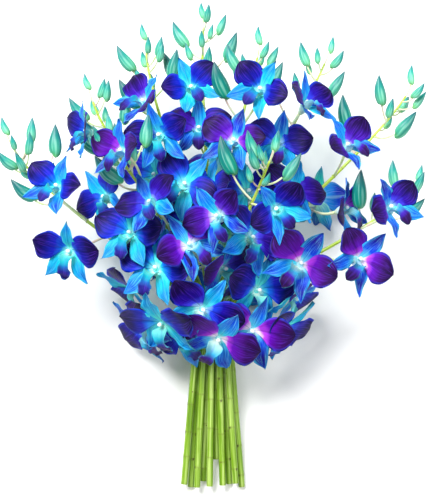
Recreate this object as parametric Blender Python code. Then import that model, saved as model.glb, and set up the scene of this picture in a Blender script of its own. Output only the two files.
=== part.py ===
"""A cut bunch of dendrobium orchid sprays, tied at the waist and lying on its back.

The bunch is laid out in its own frame: u to the right, v along the stems from the cut ends,
w towards the front of the bunch. LAY then lays it on the surface, so u is +X, v runs along +Y
and rises a little, and w points up. All sizes are in metres.
"""

import math
import random
from collections import namedtuple

import bpy
from mathutils import Matrix, Vector
from mathutils.bvhtree import BVHTree

# The bunch
TIE_HEIGHT = 0.172  # along the stems, from the cut ends to the tie
SPLAY = 1.9  # spread of the cut ends, as a share of the spread at the tie
LEAN = math.radians(11.0)  # slope of the bunch, from its cut ends up to its flower head
FOOTPRINT_CENTRE = Vector((0.002, 0.2408, 0.0))
CORE = Vector((0.0, 0.225, -0.015))  # the flowers turn away from this point
FRONT = Vector((0.0, 0.0, 1.0))
UP = Vector((0.0, 1.0, 0.0))

# Stems
STEM_RADIUS_CUT = 0.0034
STEM_RADIUS_TIE = 0.0032
STEM_RADIUS_TIP = 0.0011
STEM_GAP = 0.0004
STEM_SIDES = 6
STEM_PITCH = 2 * STEM_RADIUS_TIE + STEM_GAP
ROW_RISE = STEM_PITCH * math.sin(math.radians(60)) / 2  # half the step between the two rows
LOWER_STEPS = 3
UPPER_STEPS = 9

# Tie
TIE_GAP = 0.00035
TIE_THICKNESS = 0.0012
TIE_WIDTH = 0.008
TIE_POINTS = 20

# Flowers
HUB_RADIUS = 0.0046
BLADE_THICKNESS = 0.0011
COLUMN_RISE = 0.0052
SEAT_RADIUS = 0.0019
SEAT_BACK = 0.0105
SEAT_DROP = 0.0030
SEAT_GAP = 0.0003
PEDICEL_RADIUS = 0.0013
PEDICEL_SIDES = 4
PEDICEL_STEPS = 3
CLEARANCE = 0.0004
REACH = 0.062  # of the longest stalk
PRESS = 0.006  # how far petals may bend where they lie on the surface

# The outline that the flowers fill, seen from the front
OUTLINE_CENTRE = (0.004, 0.276)
OUTLINE_SIZE = (0.176, 0.124)

# The flowers that the bunch rests on, and the spot that each goes to
FEET = {
    ("spray_02", 2): (-0.095, 0.285),
    ("spray_07", 2): (0.105, 0.290),
    ("spray_04", 2): (0.005, 0.320),
}

# The seeded draw
SEED = 17
FIRST_DRAWS = 60
DRAWS = 40
ROUNDS = 120
SETTLING = 5  # rounds in which every flower may move
FIXED_WEIGHT = 2

# Buds
BUD_LENGTHS = (0.029, 0.012)  # the lowest bud of a spray and the one at its tip
BUD_WIDTH = 0.40  # share of its length
BUD_SIDES = 5

Spray = namedtuple("Spray", "name front column tip rise tip_run blooms buds cut seed")
SPRAYS = (
    Spray("spray_01", True, -2, (-0.198, 0.340, 0.020), 0.12, (-0.50, 0.86, 0.1), 5, 5, 0.004, 1),
    Spray("spray_02", False, -2, (-0.124, 0.392, -0.030), 0.22, (-0.35, 0.93, 0.1), 5, 5, 0.000, 2),
    Spray("spray_03", False, -1, (-0.068, 0.440, -0.012), 0.34, (-0.10, 0.99, 0.0), 5, 5, 0.006, 3),
    Spray("spray_04", False, 0, (-0.010, 0.466, -0.020), 0.34, (0.05, 1.00, 0.0), 5, 5, 0.028, 4),
    Spray("spray_05", True, 0, (0.044, 0.430, 0.024), 0.34, (0.25, 0.97, 0.0), 5, 5, 0.002, 5),
    Spray("spray_06", False, 1, (0.114, 0.430, -0.018), 0.30, (0.40, 0.92, 0.0), 5, 4, 0.003, 6),
    Spray("spray_07", False, 2, (0.196, 0.396, -0.012), 0.20, (0.55, 0.83, 0.0), 5, 5, 0.000, 7),
    Spray("spray_08", True, 2, (0.194, 0.298, 0.030), 0.12, (0.65, 0.75, 0.1), 5, 4, 0.005, 8),
    Spray("spray_09", True, 1, (0.054, 0.324, 0.088), 0.26, (0.30, 0.80, 0.5), 4, 4, 0.003, 9),
    Spray("spray_10", True, -1, (-0.096, 0.340, 0.070), 0.26, (-0.45, 0.80, 0.40), 5, 4, 0.001, 10),
)
FIRST_BLOOM = 0.06  # shares of the spray above the tie that carry flowers, then buds
LAST_BLOOM = 0.68
FIRST_BUD = 0.74

# One flower, for a spread of about 72 mm. A row across a blade is its distance out from the hub's
# centre, its lift towards the face, its half width and how far its edges stand up, in millimetres.
Blade = namedtuple("Blade", "root tip_angle rows tip")
DORSAL_SEPAL = Blade(90, 90, ((13, 2.0, 7.6, 1.2), (25, 2.6, 7.4, 1.2)), (36, 1.0))
RIGHT_PETAL = Blade(30, 18, ((11, 2.6, 8.4, 0.8), (21, 4.2, 15.2, 0.4), (31, 4.0, 12.0, -0.8)), (37, 2.4))
LEFT_PETAL = RIGHT_PETAL._replace(root=150, tip_angle=162)
RIGHT_SEPAL = Blade(-30, -51, ((13, 0.4, 8.0, 0.8), (25, 0.2, 7.2, 1.0)), (36, -2.0))
LEFT_SEPAL = RIGHT_SEPAL._replace(root=-150, tip_angle=-129)
LIP = Blade(-90, -90, ((7.5, 6.5, 6.6, 4.6), (14, 9.5, 4.4, 2.6), (20, 9.0, 6.8, 0.2)), (27, 5.0))
BLADES = (DORSAL_SEPAL, LEFT_PETAL, LEFT_SEPAL, LIP, RIGHT_SEPAL, RIGHT_PETAL)
MM = 0.001

STEM_GREEN = (0.33, 0.52, 0.06, 1.0)
PETAL_VIOLET = (0.11, 0.03, 0.52, 1.0)
BAND_GREEN = (0.20, 0.33, 0.10, 1.0)


def clear_scene():
    for obj in list(bpy.data.objects):
        bpy.data.objects.remove(obj)


def material(name, colour, roughness):
    made = bpy.data.materials.new(name)
    made.use_nodes = True
    shader = made.node_tree.nodes["Principled BSDF"]
    shader.inputs["Base Color"].default_value = colour
    shader.inputs["Roughness"].default_value = roughness
    shader.inputs["Metallic"].default_value = 0.0
    return made


def add_object(name, points, faces, finish, matrix=None):
    """An object with this mesh. points are in the world, and matrix is where the object stands."""
    matrix = matrix or Matrix.Identity(4)
    back = matrix.inverted()
    mesh = bpy.data.meshes.new(name)
    mesh.from_pydata([back @ p for p in points], [], faces)
    mesh.materials.append(finish)
    mesh.shade_smooth()
    mesh.set_sharp_from_angle(angle=math.radians(40))
    obj = bpy.data.objects.new(name, mesh)
    obj.matrix_world = matrix
    bpy.context.collection.objects.link(obj)
    return obj


def mix(a, b, share):
    return a + (b - a) * share


def bezier(a, b, c, d, t):
    s = 1 - t
    return a * s**3 + b * 3 * s * s * t + c * 3 * s * t * t + d * t**3


def tube(centres, radii, sides, squash=1.0):
    """A closed round tube through the centres. A last radius of zero ends it in a point."""
    points, faces = [], []
    ahead = (centres[1] - centres[0]).normalized()
    side = ahead.orthogonal().normalized() if abs(ahead.x) > 0.9 else Vector((1, 0, 0))
    for i, centre in enumerate(centres):
        before = centres[max(i - 1, 0)]
        after = centres[min(i + 1, len(centres) - 1)]
        ahead = (after - before).normalized()
        side = (side - ahead * side.dot(ahead)).normalized()
        other = ahead.cross(side)
        if radii[i] == 0:
            points.append(centre)
            break
        for k in range(sides):
            turn = math.tau * k / sides
            points.append(centre + side * radii[i] * math.cos(turn) + other * radii[i] * squash * math.sin(turn))
    rings = sum(1 for r in radii if r > 0)
    faces.append(tuple(reversed(range(sides))))
    for i in range(rings - 1):
        for k in range(sides):
            a, b = i * sides + k, i * sides + (k + 1) % sides
            faces += [(a, b, b + sides), (a, b + sides, a + sides)]
    last = (rings - 1) * sides
    if rings < len(radii):
        faces += [(last + k, last + (k + 1) % sides, last + sides) for k in range(sides)]
    else:
        faces.append(tuple(range(last, last + sides)))
    return points, faces


class Path:
    """The line of one spray's stem: straight from its cut end to the tie, then arching to its tip."""

    def __init__(self, spray):
        shift = -0.25 if spray.front else 0.25
        row = ROW_RISE if spray.front else -ROW_RISE
        self.tie = Vector(((spray.column + shift) * STEM_PITCH, TIE_HEIGHT, row))
        self.cut = Vector((self.tie.x * SPLAY, spray.cut, self.tie.z * 1.5))
        self.tip = Vector(spray.tip)
        reach = (self.tip - self.tie).length
        run = (self.tie - self.cut).normalized()
        self.first = self.tie + run * reach * spray.rise + FRONT * (0.006 if spray.front else -0.006)
        self.last = self.tip - Vector(spray.tip_run).normalized() * reach * 0.30

    def above(self, t):
        return bezier(self.tie, self.first, self.last, self.tip, t)

    def heading(self, t):
        step = 0.01
        return (self.above(min(t + step, 1)) - self.above(max(t - step, 0))).normalized()

    def stem(self):
        """The centres and radii of the whole stem."""
        centres = [self.cut.lerp(self.tie, i / LOWER_STEPS) for i in range(LOWER_STEPS)]
        radii = [mix(STEM_RADIUS_CUT, STEM_RADIUS_TIE, i / LOWER_STEPS) for i in range(LOWER_STEPS)]
        for i in range(UPPER_STEPS + 1):
            share = i / UPPER_STEPS
            centres.append(self.above(share))
            radii.append(mix(STEM_RADIUS_TIE, STEM_RADIUS_TIP, share**0.8))
        return centres, radii


def blade_rows(blade, size, fold):
    """Each row of a blade as (left edge, middle, right edge, face normal) in the flower's frame, then its tip."""
    rows = []
    raise_by = math.radians(fold)
    profile = [(HUB_RADIUS / MM / size * math.cos(math.radians(30)), 0.0)]
    profile += [row[:2] for row in blade.rows] + [blade.tip]
    lifted = [
        (out * math.cos(raise_by) - lift * math.sin(raise_by), out * math.sin(raise_by) + lift * math.cos(raise_by))
        for out, lift in profile[1:]
    ]
    lifted.insert(0, profile[0])
    for i, (out, lift) in enumerate(lifted[1:], 1):
        turned = min(1.0, (profile[i][0] - 4.0) / 18.0)
        angle = math.radians(mix(blade.root, blade.tip_angle, turned))
        outward = Vector((math.cos(angle), math.sin(angle), 0))
        across = Vector((-outward.y, outward.x, 0))
        middle = (outward * out + FRONT * lift) * MM * size
        if i == len(lifted) - 1:
            return rows, middle
        slope_out = lifted[i + 1][0] - lifted[i - 1][0]
        slope_up = lifted[i + 1][1] - lifted[i - 1][1]
        along = math.hypot(slope_out, slope_up)
        normal = (FRONT * slope_out - outward * slope_up) / along
        _, _, half_width, edge = blade.rows[i - 1]
        edges = [middle + (across * side * half_width + normal * edge) * MM * size for side in (1, -1)]
        rows.append((edges[0], middle, edges[1], normal))


def flower(size, fold):
    """One open flower as a single closed skin. It faces +Z, with its top sepal towards +Y and its seat behind.

    Both faces of a blade share its edge and part at its midrib, so a petal is thick along the middle
    and thin at the rim, as a real one is.
    """
    half = FRONT * BLADE_THICKNESS / 2
    points = [Vector((0, 0.0015, COLUMN_RISE))]
    faces, pairs = [], []
    count = len(BLADES)

    def add(point):
        points.append(point)
        return len(points) - 1

    corners = []
    for blade in BLADES:
        angle = math.radians(blade.root - 30)
        corners.append(add(Vector((math.cos(angle), math.sin(angle), 0)) * HUB_RADIUS))
    seats, behind = [], []
    seat_tilt = Vector((0, -SEAT_DROP, -SEAT_BACK)).normalized()
    seat_side = Vector((1, 0, 0))
    seat_up = seat_side.cross(seat_tilt)
    for blade in BLADES:
        angle = math.radians(blade.root)
        centre = Vector((0, -SEAT_DROP, -SEAT_BACK))
        spoke = seat_side * math.cos(angle) - seat_up * math.sin(angle)
        seats.append(add(centre + spoke * SEAT_RADIUS))
    for i, blade in enumerate(BLADES):
        right, left = corners[i], corners[(i + 1) % count]
        angle = math.radians(blade.root)
        root = Vector((math.cos(angle), math.sin(angle), 0)) * HUB_RADIUS * math.cos(math.radians(30))
        top, bottom = add(root + half), add(root - half)
        behind.append(bottom)
        pairs.append((top, bottom))
        faces += [(0, right, top), (0, top, left)]
        rows, tip_point = blade_rows(blade, size, fold)
        for left_point, middle, right_point, normal in rows:
            next_left, next_right = add(left_point), add(right_point)
            next_top = add(middle + normal * BLADE_THICKNESS / 2)
            next_bottom = add(middle - normal * BLADE_THICKNESS / 2)
            faces += [(top, next_top, next_left), (top, next_left, left)]
            faces += [(right, next_right, top), (next_right, next_top, top)]
            faces += [(bottom, next_left, next_bottom), (bottom, left, next_left)]
            faces += [(right, bottom, next_right), (next_right, bottom, next_bottom)]
            left, right, top, bottom = next_left, next_right, next_top, next_bottom
            pairs.append((top, bottom))
        tip = add(tip_point)
        faces += [(top, tip, left), (right, tip, top), (bottom, left, tip), (right, bottom, tip)]
    for i in range(count):
        after = (i + 1) % count
        corner = corners[after]
        faces += [(behind[i], seats[i], corner), (corner, seats[i], seats[after])]
        faces.append((corner, seats[after], behind[after]))
    faces.append(tuple(reversed(seats)))
    return points, faces, pairs


def seat_of(frame):
    """Where a flower's stalk meets it, and the way the stalk is running there, in the bunch's frame."""
    seat = frame @ Vector((0, -SEAT_DROP, -SEAT_BACK))
    run = (frame.to_3x3() @ Vector((0, SEAT_DROP, SEAT_BACK))).normalized()
    return seat, run


def stalk(start, towards, end, run):
    """A flower's own stalk, from inside the stem to its seat."""
    reach = (end - start).length
    a, b = start, start + towards * reach * 0.35
    c = end - run * reach * 0.40
    centres = [bezier(a, b, c, end, i / PEDICEL_STEPS) for i in range(PEDICEL_STEPS + 1)]
    centres[-1] = end
    radii = [PEDICEL_RADIUS * 1.15] + [PEDICEL_RADIUS] * PEDICEL_STEPS
    return tube(centres, radii, PEDICEL_SIDES)


def bud(spray, path, index):
    """A bud on its own stalk, lofted in one piece: the stalk arches out, and the bud points up with a chin at its foot."""
    rng = random.Random(100 * spray.seed + index)
    share = index / max(spray.buds - 1, 1)
    t = mix(FIRST_BUD, 1.0, share**0.85)
    start, ahead = path.above(t), path.heading(t)
    length = mix(*BUD_LENGTHS, share) * rng.uniform(0.92, 1.08)
    side = ahead.cross(FRONT).normalized() * (1 if index % 2 else -1)
    out = (side + FRONT * rng.uniform(-0.25, 0.75)).normalized()
    last = index == spray.buds - 1
    axis = (UP * 0.75 + out * (0.15 if last else 0.55) + ahead * 0.35).normalized()
    reach = length * rng.uniform(0.75, 1.0)
    leave = ahead if last else (out * 0.9 + ahead * 0.35).normalized()
    foot = start + leave * reach * 0.75 + axis * reach * 0.45
    bend = start + leave * reach * 0.6
    wide = length * BUD_WIDTH / 2
    stalk_radius = mix(0.0011, 0.0008, share)
    chin = (side * (-1 if index % 2 else 1) * -1 - axis * (side.dot(axis))).normalized() * wide * 0.45
    centres = [start, mix(start, bend, 0.55), mix(bend, foot, 0.45), foot]
    radii = [stalk_radius] * 3 + [stalk_radius * 1.2]
    for along, round_share, chin_share in ((0.10, 0.78, 0.8), (0.38, 1.0, 0.25), (0.72, 0.62, 0.0)):
        centres.append(foot + axis * length * along + chin * chin_share)
        radii.append(wide * round_share)
    centres.append(foot + axis * length)
    radii.append(0)
    return tube(centres, radii, BUD_SIDES, squash=0.8)


def grown(points, faces, by):
    """The skin moved outwards, to test it with room round it."""
    normals = [Vector() for _ in points]
    for face in faces:
        a, b, c = (points[k] for k in face[:3])
        normal = (b - a).cross(c - a).normalized()
        for k in face:
            normals[k] += normal
    return [p + n.normalized() * by for p, n in zip(points, normals)]


def frame_of(hub, facing, roll):
    """The flower's frame: it faces along facing, with its top sepal turned towards the tips of the bunch."""
    up = (UP - facing * UP.dot(facing)).normalized()
    side = up.cross(facing)
    turned = up * math.cos(roll) + side * math.sin(roll)
    matrix = Matrix((turned.cross(facing), turned, facing)).transposed().to_4x4()
    matrix.translation = hub
    return matrix


def pressed(points, pairs):
    """Petals that would go below the surface bend to lie on it, and keep their thickness there.

    A pair is the front and the back of a midrib: where both come down, one of them stays above the other.
    """
    if min(p.z for p in points) >= 0:
        return points
    bent = [Vector((p.x, p.y, max(p.z, 0.0))) for p in points]
    for pair in pairs:
        low, high = sorted(pair, key=lambda k: points[k].z)
        if bent[high].z < BLADE_THICKNESS and points[low].z < 0:
            bent[high].z = BLADE_THICKNESS
    return bent


class Obstacle:
    """A closed skin that flowers keep clear of."""

    def __init__(self, points, faces, owner=None):
        self.tree = BVHTree.FromPolygons(points, faces)
        self.box = [(min(values), max(values)) for values in zip(*points)]
        self.owner = owner

    def crosses(self, other):
        for (low, high), (other_low, other_high) in zip(self.box, other.box):
            if low > other_high or high < other_low:
                return False
        return bool(self.tree.overlap(other.tree))


class Flower:
    """One flower of a spray, and where it stands now."""

    def __init__(self, spray, step, path):
        self.spray, self.step, self.path = spray, step, path
        share = step / max(spray.blooms - 1, 1)
        self.at = mix(FIRST_BLOOM, LAST_BLOOM, share)
        self.points, self.faces, self.pairs = flower(mix(1.03, 0.88, share), mix(4.0, 24.0, share**2))
        self.roomy = grown(self.points, self.faces, CLEARANCE)
        self.foot = FEET.get((spray.name, step))
        self.place = None

    def draw(self, rng, widen):
        """A new place: a start on the stem, the way the stalk leaves it, the hub, the facing and the roll."""
        at = min(max(self.at + rng.uniform(-0.08, 0.08) * widen, 0.04), 0.74)
        start, ahead = self.path.above(at), self.path.heading(at)
        draw = Vector((rng.gauss(0, 1), rng.gauss(0, 1), rng.gauss(-1.2 if self.foot else 0.3, 1))).normalized()
        towards = (draw - ahead * draw.dot(ahead) * 0.6).normalized()
        hub = start + towards * rng.uniform(0.024, 0.058)
        shake = Vector((rng.gauss(0, 1), rng.gauss(0, 1), rng.gauss(0, 1))) * 0.25
        front = FRONT * (-0.4 if self.foot else 0.8)
        facing = ((hub - CORE).normalized() * 0.7 + towards * 0.6 + front + shake).normalized()
        return start, towards, hub, facing, rng.gauss(0, math.radians(20))

    def nudge(self, rng):
        """A place close to the one it has."""
        start, towards, hub, facing, roll = self.place
        hub = hub + Vector((rng.gauss(0, 1), rng.gauss(0, 1), rng.gauss(0, 1))) * 0.004
        facing = (facing + Vector((rng.gauss(0, 1), rng.gauss(0, 1), rng.gauss(0, 1))) * 0.12).normalized()
        return start, (hub - start).normalized(), hub, facing, roll + rng.gauss(0, math.radians(8))

    def stand(self, place, lay):
        """The flower and its stalk at a place, or None where it can't stand there."""
        start, towards, hub, facing, roll = place
        if towards.dot(facing) < 0.05 or abs(roll) > math.radians(50) or (hub - start).length > REACH:
            return None
        frame = frame_of(hub, facing, roll)
        where = lay @ frame
        if min((where @ p).z for p in self.points) < -PRESS:
            return None
        seat, run = seat_of(frame)
        stalk_points, stalk_faces = stalk(start, towards, seat - run * SEAT_GAP, run)
        stalk_points = [lay @ p for p in stalk_points]
        if min(p.z for p in stalk_points) < 0.001:
            return None
        return Stood(self, place, frame, where, (stalk_points, stalk_faces))


class Stood:
    """A flower at one place, with the skins that its neighbours keep clear of."""

    def __init__(self, flower, place, frame, where, stalk_skin):
        self.flower, self.place, self.frame, self.where = flower, place, frame, where
        self.stalk = stalk_skin
        roomy = pressed([where @ p for p in flower.roomy], flower.pairs)
        self.head = Obstacle(roomy, flower.faces)
        count = len(roomy)
        both = [tuple(k + count for k in face) for face in stalk_skin[1]]
        self.whole = Obstacle(roomy + grown(*stalk_skin, CLEARANCE), flower.faces + both)

    def skin(self):
        return pressed([self.where @ p for p in self.flower.points], self.flower.pairs), self.flower.faces

    def crossings(self, fixed, others, limit=1000):
        """How much of the bunch it crosses, counted to just past the limit. The fixed stems and buds count for more."""
        own, count = self.flower.spray.name, 0
        for obstacle in fixed:
            if (self.head if obstacle.owner == own else self.whole).crosses(obstacle):
                count += FIXED_WEIGHT
                if count > limit:
                    return count
        for other in others:
            if self.whole.crosses(other.whole):
                count += 1
                if count > limit:
                    return count
        return count

    def bent_on_itself(self):
        """Whether its own stalk crosses its petals."""
        return Obstacle(*self.skin()).crosses(Obstacle(*self.stalk))


def wish(stood, others):
    """How good a place is: far from the other flowers, in the bunch's outline and towards its front.

    A flower that the bunch rests on goes to its own spot on the surface instead.
    """
    hub = stood.place[2]
    if stood.flower.foot:
        lowest = stood.head.box[2][0]
        return -math.hypot(hub.x - stood.flower.foot[0], hub.y - stood.flower.foot[1]) - 20 * lowest
    near = min(((hub - other.place[2]).length for other in others), default=0.1)
    seen = min((math.hypot(hub.x - o.place[2].x, hub.y - o.place[2].y) for o in others), default=0.1)
    across, along = (hub.x - OUTLINE_CENTRE[0]) / OUTLINE_SIZE[0], (hub.y - OUTLINE_CENTRE[1]) / OUTLINE_SIZE[1]
    outside = max(0.0, across**2 + along**2 - 1.0)
    return 0.5 * min(near, 0.060) + min(seen, 0.046) + 0.22 * hub.z - 0.2 * outside


def better_place(flower, current, rng, draws, widen, fixed, others, lay):
    """The best of some drawn places, and of some close to the one it has.

    A flower that crosses something gives up its place for any that crosses no more, so that none gets stuck.
    """
    best, best_rank = current, (-1000, 0)
    if current:
        crossings = current.crossings(fixed, others)
        best_rank = (-crossings, -10 if crossings else wish(current, others))
    tried = 0
    while tried < draws or not best:
        place = flower.nudge(rng) if current and tried % 2 >= 1 else flower.draw(rng, widen)
        stood = flower.stand(place, lay)
        if not stood:
            tried += 0.25
            continue
        tried += 1
        rank = (-stood.crossings(fixed, others, -best_rank[0]), wish(stood, others))
        if rank > best_rank and not stood.bent_on_itself():
            best, best_rank = stood, rank
    return best


def place_flowers(paths, fixed, lay):
    """Places every flower by a seeded draw, then moves the ones that cross something until none does."""
    rng = random.Random(SEED)
    flowers = [Flower(spray, i, paths[spray.name]) for spray in SPRAYS for i in range(spray.blooms)]
    flowers.sort(key=lambda f: (f.step, f.spray.seed))
    stood = {}
    for f in flowers:
        stood[f] = better_place(f, None, rng, FIRST_DRAWS, 1.0, fixed, list(stood.values()), lay)
        f.place = stood[f].place
    for turn in range(ROUNDS):
        crossing = [f for f in flowers if stood[f].crossings(fixed, [stood[g] for g in flowers if g is not f])]
        if not crossing and turn >= SETTLING:
            return [stood[f] for f in flowers]
        for f in crossing + rng.sample(flowers, 3) if turn >= SETTLING else flowers:
            others = [stood[g] for g in flowers if g is not f]
            stood[f] = better_place(f, stood[f], rng, DRAWS, 1.0 + turn * 0.05, fixed, others, lay)
            f.place = stood[f].place
    raise RuntimeError(f"{len(crossing)} flowers still cross something")


def join_stem(name, base, repeats, finish):
    """The stem with its stalks and buds as one body, by one Boolean union on a collection."""
    stem = add_object(name, *base, finish)
    group = bpy.data.collections.new(name + "_repeats")
    for i, (points, faces) in enumerate(repeats):
        piece = add_object(f"{name}_repeat_{i}", points, faces, finish)
        bpy.context.collection.objects.unlink(piece)
        group.objects.link(piece)
    union = stem.modifiers.new("Join", "BOOLEAN")
    union.operation = "UNION"
    union.operand_type = "COLLECTION"
    union.collection = group
    union.solver = "EXACT"
    union.use_self = True
    graph = bpy.context.evaluated_depsgraph_get()
    joined = bpy.data.meshes.new_from_object(stem.evaluated_get(graph))
    joined.name = name
    stem.modifiers.clear()
    stem.data = joined
    for piece in list(group.objects):
        bpy.data.objects.remove(piece)
    bpy.data.collections.remove(group)
    return stem


def tie(paths, lay):
    """The band round the stems: taut, so it follows the hull of the stems' round sections."""
    points = []
    for share in (1 - TIE_WIDTH / TIE_HEIGHT, 1):
        middles = [path.cut.lerp(path.tie, share) for path in paths.values()]
        for out_by in (TIE_GAP + TIE_THICKNESS, TIE_GAP):
            for k in range(TIE_POINTS):
                turn = math.tau * (k + 0.5) / TIE_POINTS
                out = Vector((math.cos(turn), 0, math.sin(turn)))
                furthest = max(middles, key=lambda p: p.dot(out))
                level = Vector((furthest.x, TIE_HEIGHT * share, furthest.z))
                points.append(lay @ (level + out * (STEM_RADIUS_TIE + out_by)))
    faces = []
    count = TIE_POINTS
    for k in range(count):
        after = (k + 1) % count
        loops = [(k + count * i, after + count * i) for i in range(4)]
        (low_out, low_in, high_out, high_in) = loops
        for (a, b), (c, d) in ((low_out, low_in), (low_in, high_in), (high_in, high_out), (high_out, low_out)):
            faces.append((a, b, d, c))
    return points, faces


def main():
    clear_scene()
    stem_finish = material("stem_green", STEM_GREEN, 0.45)
    petal_finish = material("petal_violet", PETAL_VIOLET, 0.5)
    band_finish = material("tie_green", BAND_GREEN, 0.6)
    lean = Matrix.Rotation(LEAN, 4, "X")
    paths = {spray.name: Path(spray) for spray in SPRAYS}
    stems = {name: tube(*path.stem(), STEM_SIDES) for name, path in paths.items()}
    lowest = min((lean @ p).z for points, _ in stems.values() for p in points)
    lay = Matrix.Translation(Vector((0, 0, -lowest)) - FOOTPRINT_CENTRE) @ lean
    band = tie(paths, lay)
    fixed, repeats = [Obstacle(*band)], {}
    for spray in SPRAYS:
        points, faces = stems[spray.name]
        stems[spray.name] = [lay @ p for p in points], faces
        fixed.append(Obstacle(*stems[spray.name], spray.name))
        buds = [bud(spray, paths[spray.name], i) for i in range(spray.buds)]
        repeats[spray.name] = [([lay @ p for p in points], faces) for points, faces in buds]
        fixed += [Obstacle(points, faces, "bud") for points, faces in repeats[spray.name]]
    for stood in place_flowers(paths, fixed, lay):
        spray = stood.flower.spray
        repeats[spray.name].append(stood.stalk)
        add_object(f"{spray.name}_bloom_{stood.flower.step + 1}", *stood.skin(), petal_finish, lay @ stood.frame)
    for spray in SPRAYS:
        join_stem(f"{spray.name}_stem", stems[spray.name], repeats[spray.name], stem_finish)
    add_object("tie", *band, band_finish)


main()
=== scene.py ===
"""Dresses a laid bunch of cut dendrobium orchid sprays: open flowers, buds on arching stalks, green stems and the tie.

Every piece stands for the solid of the same name. A flower's place is read from its solid, and the stems, buds and
stalks are drawn along the same lines as the solids.
"""

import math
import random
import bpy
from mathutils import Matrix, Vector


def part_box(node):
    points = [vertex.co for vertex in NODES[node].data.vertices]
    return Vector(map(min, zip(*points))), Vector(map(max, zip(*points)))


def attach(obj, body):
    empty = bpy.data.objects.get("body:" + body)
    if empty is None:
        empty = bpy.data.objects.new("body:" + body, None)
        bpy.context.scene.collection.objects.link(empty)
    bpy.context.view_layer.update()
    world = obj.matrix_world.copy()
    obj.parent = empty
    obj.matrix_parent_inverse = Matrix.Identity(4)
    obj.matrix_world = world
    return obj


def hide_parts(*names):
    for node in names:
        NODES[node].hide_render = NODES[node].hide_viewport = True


bl_info = {
    "name": "Laid dendrobium bunch",
    "version": (1, 0, 0),
    "blender": (4, 5, 0),
    "location": "View3D > Sidebar > Orchids",
    "description": "Models the flowers, buds, stems and tie of a bunch of dendrobium sprays on its solids",
    "category": "Add Mesh",
}

from collections import namedtuple

import bmesh
import bpy
from bpy.props import FloatProperty, FloatVectorProperty, PointerProperty
from mathutils import Matrix, Vector

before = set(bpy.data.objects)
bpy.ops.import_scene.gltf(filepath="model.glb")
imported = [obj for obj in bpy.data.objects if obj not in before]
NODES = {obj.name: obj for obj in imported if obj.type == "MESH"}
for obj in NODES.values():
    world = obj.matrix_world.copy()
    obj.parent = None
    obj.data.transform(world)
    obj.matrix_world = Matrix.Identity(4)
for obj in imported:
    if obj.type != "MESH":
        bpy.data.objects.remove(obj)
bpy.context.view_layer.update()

# The solids' own sizes, in metres
MM = 0.001
TIE_HEIGHT = 0.172
SPLAY = 1.9
LEAN = math.radians(11.0)
FOOTPRINT_CENTRE = Vector((0.002, 0.2408, 0.0))
FRONT = Vector((0.0, 0.0, 1.0))
UP = Vector((0.0, 1.0, 0.0))
STEM_RADIUS_CUT = 0.0034
STEM_RADIUS_TIE = 0.0032
STEM_RADIUS_TIP = 0.0011
STEM_PITCH = 2 * STEM_RADIUS_TIE + 0.0004
ROW_RISE = STEM_PITCH * math.sin(math.radians(60)) / 2
TIE_GAP = 0.00035
TIE_THICKNESS = 0.0012
TIE_WIDTH = 0.008
TIE_POINTS = 20
HUB_RADIUS = 0.0046
SEAT_BACK = 0.0105
SEAT_DROP = 0.0030
SEAT_GAP = 0.0003
PEDICEL_RADIUS = 0.0013
BUD_LENGTHS = (0.029, 0.012)
BUD_WIDTH = 0.40
FIRST_BUD = 0.74  # share of the spray above the tie
FLOWER_SIZES = (1.03, 0.88)  # scale of a spray's lowest and highest flower
FLOWER_FOLDS = (4.0, 24.0)  # how far their blades stand forward, in degrees
SMALL_BUDS = 6  # a spray's young buds, which its solid leaves out

# How finely the pieces are drawn
WELD = 2e-6  # corners closer than this are one
STEM_STEPS = 200
STEM_RINGS = 110
STALK_RINGS = 18
BUD_STALK_RINGS = 12
FURTHEST_OFF = 0.004  # what a flower's six tips may miss its solid by, in all

Spray = namedtuple("Spray", "name front column tip rise tip_run buds cut seed")
SPRAYS = (
    Spray("spray_01", True, -2, (-0.198, 0.340, 0.020), 0.12, (-0.50, 0.86, 0.1), 5, 0.004, 1),
    Spray("spray_02", False, -2, (-0.124, 0.392, -0.030), 0.22, (-0.35, 0.93, 0.1), 5, 0.000, 2),
    Spray("spray_03", False, -1, (-0.068, 0.440, -0.012), 0.34, (-0.10, 0.99, 0.0), 5, 0.006, 3),
    Spray("spray_04", False, 0, (-0.010, 0.466, -0.020), 0.34, (0.05, 1.00, 0.0), 5, 0.028, 4),
    Spray("spray_05", True, 0, (0.044, 0.430, 0.024), 0.34, (0.25, 0.97, 0.0), 5, 0.002, 5),
    Spray("spray_06", False, 1, (0.114, 0.430, -0.018), 0.30, (0.40, 0.92, 0.0), 4, 0.003, 6),
    Spray("spray_07", False, 2, (0.196, 0.396, -0.012), 0.20, (0.55, 0.83, 0.0), 5, 0.000, 7),
    Spray("spray_08", True, 2, (0.194, 0.298, 0.030), 0.12, (0.65, 0.75, 0.1), 4, 0.005, 8),
    Spray("spray_09", True, 1, (0.054, 0.324, 0.088), 0.26, (0.30, 0.80, 0.5), 4, 0.003, 9),
    Spray("spray_10", True, -1, (-0.096, 0.340, 0.070), 0.26, (-0.45, 0.80, 0.40), 4, 0.001, 10),
)

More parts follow.
